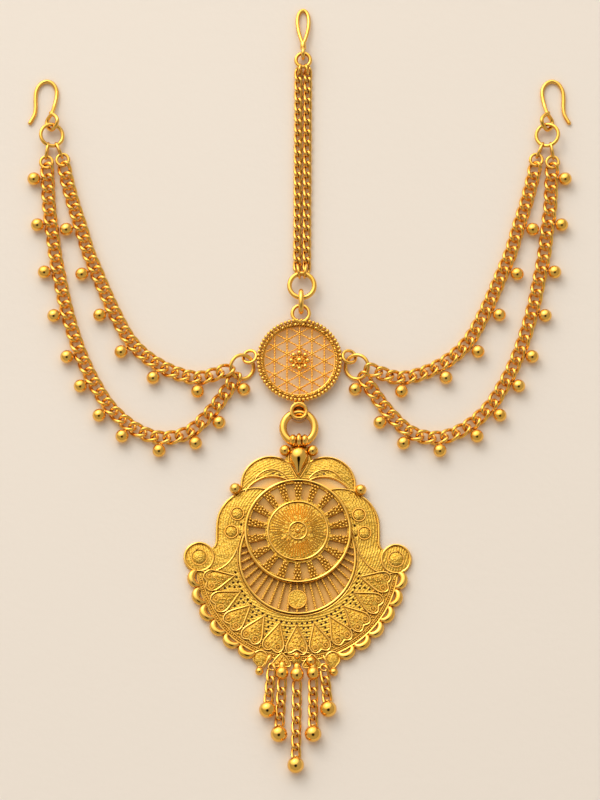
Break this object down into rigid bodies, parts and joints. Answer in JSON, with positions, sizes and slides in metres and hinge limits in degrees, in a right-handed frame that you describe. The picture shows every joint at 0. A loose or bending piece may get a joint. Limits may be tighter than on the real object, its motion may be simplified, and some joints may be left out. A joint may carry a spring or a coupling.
{
  "type": "forehead chain",
  "caption": "Gold forehead chain with a pierced round medallion, a parting chain, ball-fringed side chains on ear hooks, and a large pierced pendant with tassels.",
  "frame": {"origin": "centre of the round medallion's back, on the surface that the object lies on", "axes": "+Z out of the jewel's face, away from the surface; +Y towards the top loop of the parting chain; +X towards the right ear hook as seen from the front"},
  "size_m": [0.1378, 0.1983, 0.0046],
  "materials": {
    "polished_gold": "polished yellow gold plating",
    "satin_gold": "satin stippled yellow gold plating with bright raised edges"
  },
  "bodies": {
    "root": {"medallion": "polished_gold", "centre_link": "polished_gold", "parting_ring": "polished_gold", "parting_strand_left": "polished_gold", "parting_strand_right": "polished_gold", "top_ring": "polished_gold", "top_loop": "polished_gold", "pendant_ring": "polished_gold", "pendant": "satin_gold", "tassel_1": "polished_gold", "tassel_2": "polished_gold", "tassel_3": "polished_gold", "tassel_4": "polished_gold", "tassel_5": "polished_gold", "side_ring_left": "polished_gold", "outer_chain_left": "polished_gold", "inner_chain_left": "polished_gold", "outer_connector_left": "polished_gold", "inner_connector_left": "polished_gold", "hook_ring_left": "polished_gold", "ear_hook_left": "polished_gold", "side_ring_right": "polished_gold", "outer_chain_right": "polished_gold", "inner_chain_right": "polished_gold", "outer_connector_right": "polished_gold", "inner_connector_right": "polished_gold", "hook_ring_right": "polished_gold", "ear_hook_right": "polished_gold"}
  },
  "joints": []
}
